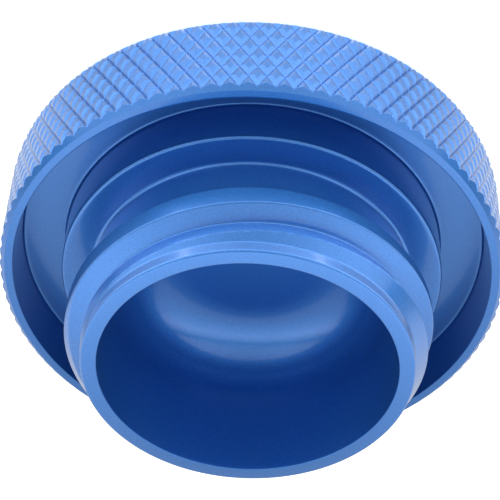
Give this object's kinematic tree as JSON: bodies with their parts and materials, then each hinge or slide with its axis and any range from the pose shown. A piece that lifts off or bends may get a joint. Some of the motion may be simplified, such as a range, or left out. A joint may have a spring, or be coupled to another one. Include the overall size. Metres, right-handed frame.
{
  "type": "oil filler cap",
  "caption": "Blue anodised screw-in oil filler cap with a diamond-knurled head and a hollow spigot carrying a coarse thread.",
  "frame": {"origin": "middle of the head's flat outer face, on the axis", "axes": "+Z along the axis, from the head towards the open end of the spigot"},
  "size_m": [0.0592, 0.0592, 0.0262],
  "materials": {
    "anodised_blue": "satin blue anodised, fine turning marks"
  },
  "bodies": {
    "root": {"cap_body": "anodised_blue"}
  },
  "joints": []
}
